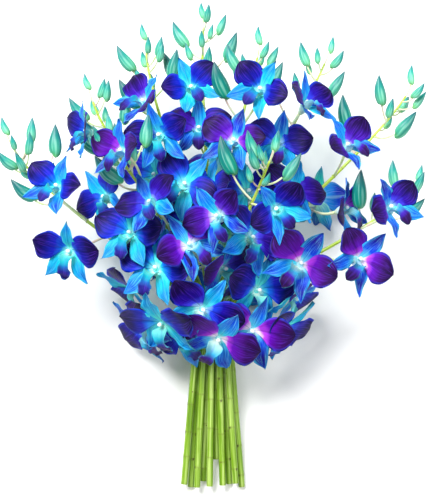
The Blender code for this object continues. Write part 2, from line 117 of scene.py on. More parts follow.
# A blade's rows are as in the solids: distance out, lift, half width and how far the edges stand up, in millimetres.
# Its outline is its half width at shares of its length, which its end's rounding then closes.
Blade = namedtuple("Blade", "kind root tip_angle rows tip outline end")
PETAL_OUTLINE = (
    (0, 1.4), (0.08, 2.4), (0.18, 4.6), (0.28, 8.4), (0.41, 12.8), (0.55, 15.2), (0.69, 15.6), (0.83, 14.2), (1, 11),
)
SEPAL_OUTLINE = ((0, 1.4), (0.08, 2.6), (0.2, 5.2), (0.34, 7.4), (0.51, 8.0), (0.68, 8.1), (0.86, 7.2), (1, 6))
LIP_OUTLINE = (
    (0, 1.6), (0.1, 2.4), (0.16, 4.6), (0.24, 6.8), (0.36, 6.4), (0.48, 4.2), (0.6, 5.4), (0.73, 7.2), (0.86, 6.8),
    (1, 5),
)
PETAL_ROWS = ((11, 2.6, 8.4, 0.8), (21, 4.2, 15.2, 0.4), (31, 4.0, 12.0, -0.8))
LIP_ROWS = ((7.5, 6.5, 6.6, 4.6), (14, 9.5, 4.4, 2.6), (20, 9.0, 6.8, 0.2))
DORSAL_SEPAL = Blade("sepal", 90, 90, ((13, 2.0, 7.6, 1.2), (25, 2.6, 7.4, 1.2)), (36, 1.0), SEPAL_OUTLINE, (3.6, 0.8))
RIGHT_PETAL = Blade("petal", 30, 18, PETAL_ROWS, (37, 2.4), PETAL_OUTLINE, (7, 0.55))
LEFT_PETAL = RIGHT_PETAL._replace(root=150, tip_angle=162)
SEPAL_ROWS = ((13, 0.4, 8.0, 0.8), (25, 0.2, 7.2, 1.0))
RIGHT_SEPAL = Blade("sepal", -30, -51, SEPAL_ROWS, (36, -2.0), SEPAL_OUTLINE, (3.6, 0.8))
LEFT_SEPAL = RIGHT_SEPAL._replace(root=-150, tip_angle=-129)
LIP = Blade("lip", -90, -90, LIP_ROWS, (27, 5.0), LIP_OUTLINE, (8, 0.6))
BLADES = (DORSAL_SEPAL, LEFT_PETAL, LEFT_SEPAL, LIP, RIGHT_SEPAL, RIGHT_PETAL)


def linear(code):
    """The linear colour of an sRGB hex value."""
    shares = [int(code[i : i + 2], 16) / 255 for i in (1, 3, 5)]
    return tuple(c / 12.92 if c <= 0.04045 else ((c + 0.055) / 1.055) ** 2.4 for c in shares) + (1.0,)


def mix(a, b, share):
    return a + (b - a) * share


def bezier(a, b, c, d, t):
    s = 1 - t
    return a * s**3 + b * 3 * s * s * t + c * 3 * s * t * t + d * t**3


class Through:
    """A smooth line through values at knots, which never swings past them."""

    def __init__(self, knots, values):
        self.knots, self.values = knots, values
        steps = [(b - a) / (l - k) for k, l, a, b in zip(knots, knots[1:], values, values[1:])]
        self.slopes = [steps[0]]
        self.slopes += [2 * a * b / (a + b) if a * b > 0 else 0.0 for a, b in zip(steps, steps[1:])]
        self.slopes.append(steps[-1])

    def at(self, x):
        knots = self.knots
        i = max((k for k in range(len(knots) - 1) if knots[k] <= x), default=0)
        wide = knots[i + 1] - knots[i]
        t = min(max((x - knots[i]) / wide, 0.0), 1.0)
        a, b = self.values[i], self.values[i + 1]
        p, q = self.slopes[i] * wide, self.slopes[i + 1] * wide
        return a + t * (p + t * (3 * (b - a) - 2 * p - q + t * (p + q - 2 * (b - a))))


class Path:
    """The line of one spray's stem: straight from its cut end to the tie, then arching to its tip."""

    def __init__(self, spray):
        shift = -0.25 if spray.front else 0.25
        row = ROW_RISE if spray.front else -ROW_RISE
        self.tie = Vector(((spray.column + shift) * STEM_PITCH, TIE_HEIGHT, row))
        self.cut = Vector((self.tie.x * SPLAY, spray.cut, self.tie.z * 1.5))
        self.tip = Vector(spray.tip)
        reach = (self.tip - self.tie).length
        run = (self.tie - self.cut).normalized()
        self.first = self.tie + run * reach * spray.rise + FRONT * (0.006 if spray.front else -0.006)
        self.last = self.tip - Vector(spray.tip_run).normalized() * reach * 0.30

    def above(self, t):
        return bezier(self.tie, self.first, self.last, self.tip, t)

    def heading(self, t):
        step = 0.01
        return (self.above(min(t + step, 1)) - self.above(max(t - step, 0))).normalized()


PATHS = {spray.name: Path(spray) for spray in SPRAYS}


def tie_line(share, out_by, count):
    """Points on the hull of the stems' round sections at a share of the tie's height, out_by from the stems."""
    middles = [path.cut.lerp(path.tie, share) for path in PATHS.values()]
    points = []
    for k in range(count):
        turn = math.tau * (k + 0.5) / count
        out = Vector((math.cos(turn), 0, math.sin(turn)))
        furthest = max(middles, key=lambda p: p.dot(out))
        level = Vector((furthest.x, TIE_HEIGHT * share, furthest.z))
        points.append(level + out * (STEM_RADIUS_TIE + out_by))
    return points


def how_it_lies():
    """The bunch's place on the surface: its slope is known, and its height comes from the tie's solid."""
    lean = Matrix.Rotation(LEAN, 4, "X")
    band = tie_line(1 - TIE_WIDTH / TIE_HEIGHT, TIE_GAP + TIE_THICKNESS, TIE_POINTS)
    band += tie_line(1, TIE_GAP + TIE_THICKNESS, TIE_POINTS)
    lowest = min((lean @ p).z for p in band)
    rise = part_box("tie")[0].z - lowest
    return Matrix.Translation(Vector((-FOOTPRINT_CENTRE.x, -FOOTPRINT_CENTRE.y, rise))) @ lean


LAY = how_it_lies()


# Meshes


def new_mesh():
    """An empty bmesh with the UVs and the attributes that the materials read."""
    bm = bmesh.new()
    bm.loops.layers.uv.new("UVMap")
    bm.verts.layers.float.new("tone")
    bm.verts.layers.float.new("mark")
    return bm


def sheet(bm, columns, rows, place, finish=0, tone=0.0, mark=None, turned=False):
    """A grid laid where place(u, v) says, u and v from 0 to 1, which are also its UVs.

    finish is the material's number, or says it from a face's middle u and v. tone and mark are attributes that
    the materials read.
    """
    made = bmesh.ops.create_grid(bm, x_segments=columns, y_segments=rows, size=0.5)["verts"]
    uvs = bm.loops.layers.uv["UVMap"]
    tones, marks = bm.verts.layers.float["tone"], bm.verts.layers.float["mark"]
    spots = {v: (v.co.x + 0.5, v.co.y + 0.5) for v in made}
    faces = list(dict.fromkeys(f for v in made for f in v.link_faces))
    for face in faces:
        face.smooth = True
        for loop in face.loops:
            loop[uvs].uv = spots[loop.vert]
        middle = [sum(spots[v][i] for v in face.verts) / len(face.verts) for i in (0, 1)]
        face.material_index = finish(*middle) if callable(finish) else finish
    for v, (along_u, along_v) in spots.items():
        v.co = place(along_u, along_v)
        v[tones] = tone
        v[marks] = mark(along_u, along_v) if mark else 0.0
    if turned:
        bmesh.ops.reverse_faces(bm, faces=faces)
    return made


def sew(bm, verts):
    """Joins a skin where its edges meet, and keeps the shading apart where its front meets its back."""
    edges = {e for v in verts for e in v.link_edges}
    bmesh.ops.remove_doubles(bm, verts=verts, dist=WELD)
    for edge in edges:
        if edge.is_valid and len({f.material_index for f in edge.link_faces}) > 1:
            edge.smooth = False


def rings_along(centres, radii):
    """Rings square to a line through the centres, as (centre, side, other side, radius)."""
    rings = []
    ahead = (centres[1] - centres[0]).normalized()
    side = ahead.orthogonal().normalized() if abs(ahead.x) > 0.9 else Vector((1, 0, 0))
    for i, centre in enumerate(centres):
        step = centres[min(i + 1, len(centres) - 1)] - centres[max(i - 1, 0)]
        ahead = step.normalized() if step.length > 1e-9 else ahead
        side = (side - ahead * side.dot(ahead)).normalized()
        rings.append((centre, side, ahead.cross(side), radii[i]))
    return rings


def skin(bm, rings, sides, finish=0, tone=0.0, mark=None, shape=None):
    """A closed skin over the rings. It starts and ends in a point where the first and last rings have no radius."""
    last = len(rings) - 1

    def place(u, v):
        centre, side, other, radius = rings[round(v * last)]
        turn = math.tau * u
        radius *= shape(turn, v) if shape else 1.0
        return centre + side * radius * math.cos(turn) + other * radius * math.sin(turn)

    verts = sheet(bm, sides, last, place, finish, tone, mark)
    sew(bm, verts)


def laid(rings):
    """Rings on the bunch's own lines, where the bunch lies."""
    turned = LAY.to_3x3()
    return [(LAY @ centre, turned @ side, turned @ other, radius) for centre, side, other, radius in rings]


def closed(rings):
    """The rings with a point at each end, so that the skin over them is closed."""
    first, last = rings[0], rings[-1]
    return [(*first[:3], 0.0), *rings, (*last[:3], 0.0)]


def settled(point):
    """A point that lies on the surface where it would go below it: the lower it was, the flatter it lies."""
    room = 0.0012
    return Vector((point.x, point.y, room * math.exp((point.z - room) / room))) if point.z < room else point


def add_piece(bm, name, finishes, slot, *nodes):
    """The finished piece, which rides on the body of the bunch and stands for its solids."""
    mesh = bpy.data.meshes.new(name)
    bm.to_mesh(mesh)
    bm.free()
    for made in finishes:
        mesh.materials.append(made)
    piece = bpy.data.objects.new(name, mesh)
    bpy.context.collection.objects.link(piece)
    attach(piece, "root")
    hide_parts(*nodes)
    return piece


# Flowers


class BladeLine:
    """One petal, sepal or lip in its flower's frame: smooth lines through the rows of its solid."""

    def __init__(self, blade, size, fold, rng, ripple):
        self.blade, self.size = blade, size
        up = math.radians(fold)
        inner = HUB_RADIUS / MM / size * math.cos(math.radians(30))
        profile = [row[:2] for row in blade.rows] + [blade.tip]
        line = [(1.2, -0.6), (inner, 0.3)]
        line += [(o * math.cos(up) - l * math.sin(up), o * math.sin(up) + l * math.cos(up)) for o, l in profile]
        lengths = [0.0]
        for (a, b), (c, d) in zip(line, line[1:]):
            lengths.append(lengths[-1] + math.hypot(c - a, d - b))
        knots = [length / lengths[-1] for length in lengths]
        outs = [1.2, inner] + [o for o, _ in profile]
        turns = [mix(blade.root, blade.tip_angle, min(1.0, max(0.0, (o - 4.0) / 18.0))) for o in outs]
        self.out = Through(knots, [o for o, _ in line])
        self.lift = Through(knots, [l for _, l in line])
        self.turn = Through(knots, turns)
        self.edge = Through(knots, [0.0, 0.2] + [row[3] for row in blade.rows] + [blade.rows[-1][3]])
        self.half = Through(*zip(*blade.outline))
        lip = blade.kind == "lip"
        self.wide = rng.uniform(*{"petal": (1.02, 1.14), "sepal": (1.08, 1.28), "lip": (1.0, 1.1)}[blade.kind])
        self.end = blade.end
        if not lip:
            # some petals end round and some come to a blunt point
            self.end = blade.end[0] * rng.uniform(0.5, 1.0), blade.end[1] * rng.uniform(1.0, 1.3)
        self.waves = rng.uniform(1.6, 3.2) if not lip else 5.0
        self.depth = ripple / MM * rng.uniform(0.5, 1.3) * (0.8 if lip else 1.0)
        self.phases = rng.uniform(0, math.tau), rng.uniform(0, math.tau)
        self.twist = math.radians(rng.gauss(0, {"petal": 5.0, "sepal": 11.0, "lip": 3.0}[blade.kind]))
        self.cup = rng.gauss(0.4, 0.8)
        self.curl = rng.gauss(0, 1.2)
        self.rows = {}

    def row(self, s):
        """The middle, the way across, the way up, the half width and the edges' rise at a share s of its length."""
        if s not in self.rows:
            turn = math.radians(self.turn.at(s))
            outward = Vector((math.cos(turn), math.sin(turn), 0))
            across = Vector((-outward.y, outward.x, 0))
            middle = outward * self.out.at(s) + FRONT * (self.lift.at(s) + self.curl * s**4)
            slope_out = self.out.at(min(s + 0.02, 1)) - self.out.at(max(s - 0.02, 0))
            slope_up = self.lift.at(min(s + 0.02, 1)) - self.lift.at(max(s - 0.02, 0))
            normal = (FRONT * slope_out - outward * slope_up).normalized()
            power, root = self.end
            half = self.half.at(s) * self.wide * max(0.0, 1 - s**power) ** root
            self.rows[s] = middle, across, normal, half, self.edge.at(s)
        return self.rows[s]

    def point(self, c, s, face, thickness):
        """A point of its front (face 1) or back (face -1), c from one edge at -1 to the other at 1."""
        middle, across, normal, half, edge = self.row(s)
        rise = edge * abs(c) ** 1.7 + self.cup * c * c * s + half * c * math.sin(self.twist * s)
        phase = self.phases[0 if c > 0 else 1]
        rise += self.depth * abs(c) ** 2.4 * s**0.7 * math.sin(math.tau * self.waves * s + phase)
        if self.blade.kind == "lip":
            # three keels run along the middle of the lip
            keel = max(math.exp(-(((c - at) / 0.07) ** 2)) for at in (-0.3, 0.0, 0.3))
            rise += 0.5 * keel * math.sin(math.pi * min(1.0, s / 0.8)) if face > 0 else 0.0
        else:
            rise -= 0.45 * math.exp(-((c / 0.09) ** 2)) * (1 - s) ** 0.5
        wall = thickness / MM / 2 * (1 - abs(c) ** 3) * min(1.0, s / 0.06) * (1 - s**6)
        return (middle + across * half * c + normal * (rise + face * wall)) * MM * self.size


def draw_blade(bm, line, frame, thickness, front, back, tone, columns, rows):
    """A blade as a front and a back that meet at its edges."""
    verts = []
    for face, finish in ((1, front), (-1, back)):

        def place(u, v, face=face):
            s = 0.5 * v + 0.5 * math.sin(math.pi / 2 * v)
            s = 0.0 if s < 1e-6 else 1.0 if s > 1 - 1e-6 else s
            return settled(frame @ line.point(1 - 2 * u, s, face, thickness))

        verts += sheet(bm, columns, rows, place, finish, tone, turned=face < 0)
    sew(bm, verts)


def draw_column(bm, frame, finish, tone):
    """The waxy column over the lip: round above, flat below, with its rounded cap."""
    centres, radii = [], []
    for share, radius in (
        (0, 1.9), (0.2, 2.0), (0.45, 1.9), (0.62, 1.85), (0.68, 2.15), (0.82, 2.2), (0.93, 1.7), (0.99, 0.8),
    ):
        centres.append(frame @ (Vector((0, mix(0.6, 1.9, share), mix(-0.8, 6.6, share))) * MM))
        radii.append(radius * MM)
    rings = closed(rings_along(centres, radii))
    up = frame.to_3x3() @ UP

    def shape(turn, v):
        _, side, other, _ = rings[round(v * (len(rings) - 1))]
        below = max(0.0, -(side * math.cos(turn) + other * math.sin(turn)).dot(up))
        return 1 - 0.34 * below**2

    skin(bm, rings, 12, finish, tone, mark=lambda u, v: 1.0 if v > 0.55 else 0.0, shape=shape)


def draw_throat(bm, frame, finish, tone):
    """The cup behind the flower, from its face back to its stalk, with the blunt chin below."""
    rings = []
    for radius, back, drop in (
        (2.6, -0.35, 0), (4.0, 0.15, 0), (4.6, 1.0, 0.1), (4.5, 2.2, 0.3), (4.0, 4.2, 0.8),
        (3.3, 6.4, 1.5), (2.6, 8.2, 2.2), (2.0, 9.8, 2.8), (1.6, 10.4, 3.0),
    ):
        centre = frame @ (Vector((0, -drop, -back)) * MM)
        turned = frame.to_3x3()
        rings.append((centre, turned @ Vector((1, 0, 0)), turned @ Vector((0, -1, 0)), radius * MM))

    def shape(turn, v):
        return 1 + 0.34 * max(0.0, math.sin(turn)) ** 2 * math.sin(math.pi * v) ** 2 + 0.03 * math.cos(6 * turn)

    skin(bm, closed(rings), 18, finish, tone, shape=shape)


def read_flower(node):
    """The place of a flower's solid: its hub's middle, the way it faces and the way its top sepal points."""
    bm = bmesh.new()
    bm.from_mesh(NODES[node].data)
    bmesh.ops.remove_doubles(bm, verts=bm.verts, dist=WELD)
    column = max(bm.verts, key=lambda v: len(v.link_edges))
    around = [e.other_vert(column) for e in column.link_edges]
    corners = [v.co.copy() for v in sorted(around, key=lambda v: -len(v.link_edges))[:6]]
    points = [v.co.copy() for v in bm.verts]
    peak = column.co.copy()
    bm.free()
    hub = sum(corners, Vector()) / 6
    spokes = [c - hub for c in corners]
    facing = Vector()
    for a in spokes:
        for b in spokes:
            turn = a.cross(b)
            facing += turn if turn.dot(peak - hub) > 0 else -turn
    facing.normalize()
    step = int(node.rsplit("_", 1)[1]) - 1
    blooms = sum(name.startswith(node.rsplit("_", 1)[0]) for name in NODES)
    share = step / max(blooms - 1, 1)
    size, fold = mix(*FLOWER_SIZES, share), math.radians(mix(*FLOWER_FOLDS, share**2))
    tips = []
    for blade in BLADES:
        out, lift = blade.tip
        turn = math.radians(blade.tip_angle)
        out, lift = out * math.cos(fold) - lift * math.sin(fold), out * math.sin(fold) + lift * math.cos(fold)
        tips.append(Vector((math.cos(turn) * out, math.sin(turn) * out, lift)) * MM * size)
    best = None
    for spoke in spokes:
        side = (spoke - facing * spoke.dot(facing)).normalized()
        frame = Matrix((side, facing.cross(side), facing)).transposed().to_4x4()
        frame.translation = hub
        away = 0.0
        for tip in tips:
            at = frame @ tip
            at.z = max(at.z, 0.0)
            away += min((at - p).length for p in points)
        if best is None or away < best[0]:
            best = away, frame
    return best[1], share, best[0]


FLOWERS = {name: read_flower(name) for name in sorted(NODES) if "_bloom_" in name}


# Materials


def add_node(tree, kind, inputs=None, ramp=None, **settings):
    """A node with its settings. inputs maps a socket's name or number to a value, or to the socket that feeds it."""
    made = tree.nodes.new(kind)
    for key, value in settings.items():
        setattr(made, key, value)
    if ramp:
        points = made.color_ramp.elements
        while len(points) < len(ramp):
            points.new(1.0)
        for point, (at, code) in zip(points, ramp):
            point.position = at
            point.color = linear(code)
    for key, value in (inputs or {}).items():
        if isinstance(value, bpy.types.NodeSocket):
            tree.links.new(value, made.inputs[key])
        else:
            made.inputs[key].default_value = value
    return made


def new_material(name, **sockets):
    """A material with its shader's constant values."""
    made = bpy.data.materials.new(name)
    made.use_nodes = True
    shader = made.node_tree.nodes["Principled BSDF"]
    for key, value in sockets.items():
        shader.inputs[key.replace("_", " ")].default_value = value
    return made, made.node_tree, shader


def worked(tree, operation, *values):
    """Arithmetic on sockets or numbers."""
    return add_node(tree, "ShaderNodeMath", dict(enumerate(values)), operation=operation).outputs[0]


def ranged(tree, value, low, high, first, last):
    """A value's run from low to high as one from first to last, held there beyond."""
    return add_node(tree, "ShaderNodeMapRange", {0: value, 1: low, 2: high, 3: first, 4: last}).outputs[0]


def coloured(tree, value, ramp):
    return add_node(tree, "ShaderNodeValToRGB", {0: value}, ramp=ramp).outputs[0]


def attribute(tree, name):
    return add_node(tree, "ShaderNodeAttribute", attribute_name=name).outputs["Fac"]


def uv_of(tree):
    return add_node(tree, "ShaderNodeUVMap", uv_map="UVMap").outputs[0]


def place_of(tree):
    return add_node(tree, "ShaderNodeTexCoord").outputs["Object"]


def parts_of(tree, place):
    return add_node(tree, "ShaderNodeSeparateXYZ", {0: place}).outputs


def noise(tree, place, scale, detail, roughness=0.5):
    inputs = {"Vector": place, "Scale": scale, "Detail": detail, "Roughness": roughness}
    return add_node(tree, "ShaderNodeTexNoise", inputs).outputs[0]


def cells(tree, place, scale):
    return add_node(tree, "ShaderNodeTexVoronoi", {"Vector": place, "Scale": scale}).outputs["Distance"]


def stretched_uv(tree, uv, scale):
    return add_node(tree, "ShaderNodeMapping", {0: uv, "Scale": scale}).outputs[0]


def moved_by(tree, place, by):
    return add_node(tree, "ShaderNodeVectorMath", {0: place, 1: by}, operation="ADD").outputs[0]


def stirred(tree, place, value, reach):
    """The place moved off by a value, so that what differs in it has noise of its own."""
    off = add_node(tree, "ShaderNodeCombineXYZ", {2: worked(tree, "MULTIPLY", value, reach)}).outputs[0]
    return moved_by(tree, place, off)


def blended(tree, share, a, b, kind="MIX"):
    """Colour a with b over it by the share."""
    node = add_node(tree, "ShaderNodeMix", {0: share, 6: a, 7: b}, data_type="RGBA", blend_type=kind)
    return node.outputs[2]


def skin_of(tree, shader, colour, height, strength, distance):
    """Gives a shader its colour and the fine relief of its skin."""
    bump = add_node(tree, "ShaderNodeBump", {"Height": height, "Strength": strength, "Distance": distance})
    tree.links.new(colour, shader.inputs["Base Color"])
    tree.links.new(bump.outputs[0], shader.inputs["Normal"])


def blade_material(name, runs, edge, vein, rib, relief, shadow, **sockets):
    """A dyed petal, sepal or lip skin: the run of colour along it follows the flower's tone, from its first run to
    its third. Its edge (colour, where it starts) is partly the dye at the rim and partly a painted highlight on the
    rim;
    its veins and midrib (colour, share) lie over that."""
    made, tree, shader = new_material(name, **sockets)
    uv = uv_of(tree)
    across, along = parts_of(tree, uv)[:2]
    tone = attribute(tree, "tone")
    near_edge = worked(tree, "MULTIPLY", worked(tree, "ABSOLUTE", worked(tree, "SUBTRACT", across, 0.5)), 2.0)
    # about 24 veins fan out over a blade 15 to 30 mm wide, each a long streak from its base
    veins = noise(tree, stirred(tree, stretched_uv(tree, uv, (26.0, 2.2, 1.0)), tone, 31.0), 1.0, 3.0, 0.6)
    clouds = noise(tree, place_of(tree), 70.0, 2.0)
    along = worked(tree, "ADD", along, worked(tree, "MULTIPLY_ADD", clouds, 0.26, -0.13))
    first, second, third = (coloured(tree, along, run) for run in runs)
    colour = blended(tree, ranged(tree, tone, 0.0, 0.5, 0.0, 1.0), first, second)
    colour = blended(tree, ranged(tree, tone, 0.5, 1.0, 0.0, 1.0), colour, third)
    # painted highlight: the cyan or blue band along the rim is partly the dye's own edge colour and partly painted
    # light on the rim
    rim_dye_and_highlight = worked(tree, "MULTIPLY", ranged(tree, near_edge, edge[1], 1.0, 0.0, 0.9), clouds)
    colour = blended(tree, rim_dye_and_highlight, colour, linear(edge[0]))
    colour = blended(tree, ranged(tree, near_edge, 0.0, 0.16, rib[1], 0.0), colour, linear(rib[0]))
    colour = blended(tree, ranged(tree, veins, 0.5, 0.72, 0.0, vein[1]), colour, linear(vein[0]))
    shade = ranged(tree, veins, 0.28, 0.5, 0.5, 1.0)
    grey = add_node(tree, "ShaderNodeCombineColor", {0: shade, 1: shade, 2: shade}).outputs[0]
    skin_of(tree, shader, blended(tree, shadow, colour, grey, "MULTIPLY"), veins, relief, 0.0006)
    return made


# Runs of dye from a blade's base to its tip: in a blue flower, in one between, and in a violet one
PETAL_FRONT = (
    ((0.0, "#A8F0EC"), (0.12, "#1CC4E0"), (0.21, "#0470E4"), (0.34, "#0624BC"), (0.62, "#0C0860"), (1.0, "#090328")),
    ((0.0, "#D8F4F4"), (0.10, "#90CCF8"), (0.18, "#1C48EC"), (0.32, "#180A98"), (0.6, "#12044A"), (1.0, "#07011A")),
    ((0.0, "#FFF6FC"), (0.11, "#F8DCF4"), (0.18, "#B840E0"), (0.30, "#6006AC"), (0.58, "#320458"), (1.0, "#12021C")),
)
PETAL_BACK = (
    ((0.0, "#E4F8DE"), (0.14, "#8CF0E4"), (0.3, "#10BCE0"), (0.6, "#0868D4"), (1.0, "#0C30B0")),
    ((0.0, "#EAF8E0"), (0.14, "#A4E4F0"), (0.3, "#2080F0"), (0.6, "#1C24C0"), (1.0, "#180E84")),
    ((0.0, "#F6F6E6"), (0.14, "#D8BCF4"), (0.3, "#8034DC"), (0.6, "#4C109C"), (1.0, "#2C0A64")),
)
SEPAL_FRONT = (
    ((0.0, "#E0FCEE"), (0.12, "#60F4E4"), (0.30, "#06BCDC"), (0.6, "#0484CC"), (1.0, "#0478B8")),
    ((0.0, "#E0FCF0"), (0.12, "#34DCF0"), (0.30, "#0490EC"), (0.6, "#0448D8"), (1.0, "#0478D8")),
    ((0.0, "#F0F6F6"), (0.13, "#60CCF4"), (0.28, "#0C40E0"), (0.6, "#200C8C"), (1.0, "#0C38C4")),
)
SEPAL_BACK = (
    ((0.0, "#E2F4B4"), (0.16, "#90F0C4"), (0.4, "#10CCB0"), (0.75, "#0494A0"), (1.0, "#046C90")),
    ((0.0, "#E6F4B8"), (0.16, "#A0F0D0"), (0.4, "#1CCCCC"), (0.75, "#048CC4"), (1.0, "#0458AC")),
    ((0.0, "#EAF2C0"), (0.16, "#ACECE0"), (0.4, "#34B8E8"), (0.75, "#1058D8"), (1.0, "#0C2CB0")),
)
LIP_FRONT = (
    ((0.0, "#D8F4DC"), (0.16, "#6CD8C4"), (0.36, "#08A8B4"), (0.50, "#0C60B0"), (0.64, "#181C80"), (1.0, "#120648")),
    ((0.0, "#DCF4E0"), (0.16, "#7CDCC8"), (0.36, "#0CA8B8"), (0.50, "#0C40B0"), (0.62, "#1C0A6C"), (1.0, "#120430")),
    ((0.0, "#F0F8E8"), (0.16, "#A8DCD4"), (0.36, "#2C9CC4"), (0.50, "#3C14A4"), (0.62, "#2C0654"), (1.0, "#1A022C")),
)
LIP_BACK = (
    ((0.0, "#DFF6C8"), (0.3, "#5FE0CC"), (0.6, "#14A8CC"), (1.0, "#1C44B0")),
    ((0.0, "#DFF6C8"), (0.3, "#70DCD4"), (0.6, "#2488D0"), (1.0, "#3024A0")),
    ((0.0, "#E8F4D0"), (0.3, "#98DCE0"), (0.6, "#4668D0"), (1.0, "#501898")),
)


def blade_materials():
    """The living skins of petals, sepals and lips, each with its front and then its back."""
    # petal: satin, deep indigo or violet with a pale claw; the back is paler, as the dye lies in the upper cells
    petal = {"Roughness": 0.5, "IOR": 1.42, "Specular_IOR_Level": 0.14}
    # sepal: satin, teal to azure with cyan edges, partly dye and partly a painted highlight on the rim;
    # the back runs to pale green
    sepal = {"Roughness": 0.48, "IOR": 1.42, "Specular_IOR_Level": 0.16}
    # lip: velvet, mint throat, cyan side lobes and a near-black purple front lobe; the back is paler;
    # the cyan along the lip's rims is partly a painted highlight
    lip = {"Roughness": 0.6, "IOR": 1.42, "Specular_IOR_Level": 0.2, "Sheen_Weight": 0.05, "Sheen_Roughness": 0.4}
    # each skin's edge colour below is partly dye and partly a painted highlight on the rim
    return [
        blade_material(name, runs, edge, vein, rib, relief, shadow, **sockets)
        for name, runs, edge, vein, rib, relief, shadow, sockets in (
            (
                "petal_front_dyed_violet", PETAL_FRONT,
                ("#0850F0", 0.8), ("#7440F0", 0.26), ("#08022A", 0.45), 0.45, 0.75, petal,
            ),
            (
                "petal_back_dyed_violet", PETAL_BACK,
                ("#1CB4DC", 0.7), ("#A8A0EC", 0.4), ("#A8E4F0", 0.4), 0.4, 0.5, petal,
            ),
            (
                "sepal_front_dyed_azure", SEPAL_FRONT,
                ("#34DCF4", 0.56), ("#84ECF8", 0.5), ("#0818A0", 0.35), 0.45, 0.65, sepal,
            ),
            (
                "sepal_back_dyed_teal", SEPAL_BACK,
                ("#98F4EC", 0.72), ("#D0FAF0", 0.45), ("#0A8090", 0.35), 0.4, 0.5, sepal,
            ),
            (
                "lip_front_velvet", LIP_FRONT,
                ("#18B8CC", 0.82), ("#5A24B0", 0.35), ("#5030B8", 0.2), 0.5, 0.5, lip,
            ),
            (
                "lip_back_velvet", LIP_BACK,
                ("#3CD4E0", 0.7), ("#C4F4EC", 0.4), ("#18A8C0", 0.3), 0.4, 0.5, lip,
            ),
        )
    ]


def wax_materials():
    """Waxy column and throat: mint white with a cyan flush, smoother and shinier than the petals."""
    column, tree, shader = new_material("column_wax_mint", Roughness=0.32, IOR=1.44)
    mark = attribute(tree, "mark")
    place = place_of(tree)
    spots = noise(tree, place, 420.0, 1.0)
    flush = coloured(tree, spots, ((0.35, "#6FE4DC"), (0.6, "#D4F8EA")))
    cap = coloured(tree, spots, ((0.35, "#E4F6F0"), (0.7, "#FFFFFF")))
    tree.links.new(blended(tree, mark, flush, cap), shader.inputs["Base Color"])
    throat, tree, shader = new_material("throat_wax_teal", Roughness=0.42, IOR=1.42)
    uv = uv_of(tree)
    along = parts_of(tree, uv)[1]
    cool = ((0.0, "#3CE0DC"), (0.2, "#5CE0D8"), (0.42, "#A6ECCC"), (0.75, "#CDEFA4"), (1.0, "#B8DE74"))
    warm = ((0.0, "#A8E4F4"), (0.2, "#9FD0F0"), (0.42, "#C8D8EE"), (0.75, "#D8E6B8"), (1.0, "#C8D890"))
    # ribs run from the stalk up the cup, about 1 mm apart
    stretched = stretched_uv(tree, uv, (22.0, 1.6, 1.0))
    ribs = noise(tree, stretched, 1.0, 2.0)
    colour = blended(tree, attribute(tree, "tone"), coloured(tree, along, cool), coloured(tree, along, warm))
    colour = blended(tree, ranged(tree, ribs, 0.5, 0.75, 0.0, 0.6), colour, linear("#F2FBE8"))
    skin_of(tree, shader, colour, ribs, 0.3, 0.0004)
    return [column, throat]


def stem_material(looks):
    """Cut orchid cane: a satin green skin with fine lengthwise ribs, tan scars at its joints and small brown specks."""
    made, tree, shader = new_material("stem_cane_green", Roughness=0.38, IOR=1.44)
    uv = uv_of(tree)
    place = place_of(tree)
    tone = attribute(tree, "tone")
    mark = attribute(tree, "mark")
    colour = blended(tree, tone, tuple(looks.stem_green), tuple(looks.tip_green))
    stretched = stirred(tree, stretched_uv(tree, uv, (11.0, 7.0, 1.0)), parts_of(tree, place)[0], 60.0)
    ribs = noise(tree, stretched, 1.0, 4.0, 0.6)
    colour = blended(tree, ranged(tree, ribs, 0.48, 0.68, 0.0, 0.75), colour, linear("#CCE486"))
    colour = blended(tree, ranged(tree, ribs, 0.3, 0.46, 0.7, 0.0), colour, linear("#3F6E14"))
    # specks 0.6 to 1 mm across, 8 to 15 mm apart
    specks = ranged(tree, cells(tree, place, 105.0), 0.05, 0.1, 0.85, 0.0)
    colour = blended(tree, specks, colour, linear("#5A4418"))
    scar = coloured(tree, mark, ((0.0, "#7A8A30"), (0.55, "#5E6020"), (0.9, "#2E1E0C")))
    colour = blended(tree, mark, colour, scar)
    skin_of(tree, shader, colour, ribs, 0.5, 0.0006)
    return made


def stalk_material():
    """Flower stalk: thin, waxy and pale green, flushed violet on the lower flowers and pink in places."""
    made, tree, shader = new_material("stalk_wax_pale", Roughness=0.36, IOR=1.44)
    place = place_of(tree)
    tone = attribute(tree, "tone")
    clouds = noise(tree, place, 90.0, 2.0)
    pale = coloured(tree, clouds, ((0.35, "#C9DC86"), (0.5, "#DDE8B8"), (0.68, "#E8C8B4")))
    dark = coloured(tree, clouds, ((0.35, "#C8DCA8"), (0.5, "#A890C8"), (0.68, "#6A3F8A")))
    tree.links.new(blended(tree, tone, pale, dark), shader.inputs["Base Color"])
    return made


